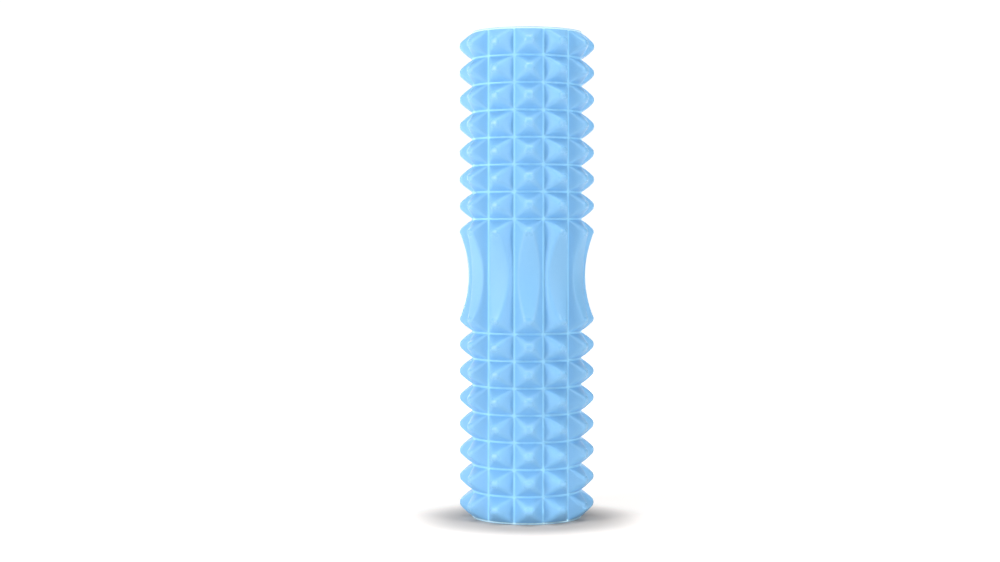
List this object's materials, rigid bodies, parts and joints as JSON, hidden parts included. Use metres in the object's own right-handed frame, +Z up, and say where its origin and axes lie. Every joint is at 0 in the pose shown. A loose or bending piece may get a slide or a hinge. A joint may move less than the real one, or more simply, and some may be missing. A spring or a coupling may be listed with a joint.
{
  "type": "foam roller",
  "caption": "Hollow massage foam roller on end: round foam sleeve of pyramid studs with a ribbed, concave plain waist, bonded on a rigid open core tube.",
  "frame": {"origin": "centre of the lower end face, the roller standing on end", "axes": "+Z up along the roller's axis, -Y through the centre of the stud column that faces the front"},
  "size_m": [0.125, 0.125, 0.45],
  "materials": {
    "foam_blue": "satin moulded skin of closed-cell EVA foam",
    "tube_plastic": "satin extruded ABS",
    "dried_adhesive": "dried contact adhesive"
  },
  "bodies": {
    "root": {"foam_sleeve": "foam_blue", "core_tube": "tube_plastic", "adhesive_film": "dried_adhesive"}
  },
  "joints": []
}
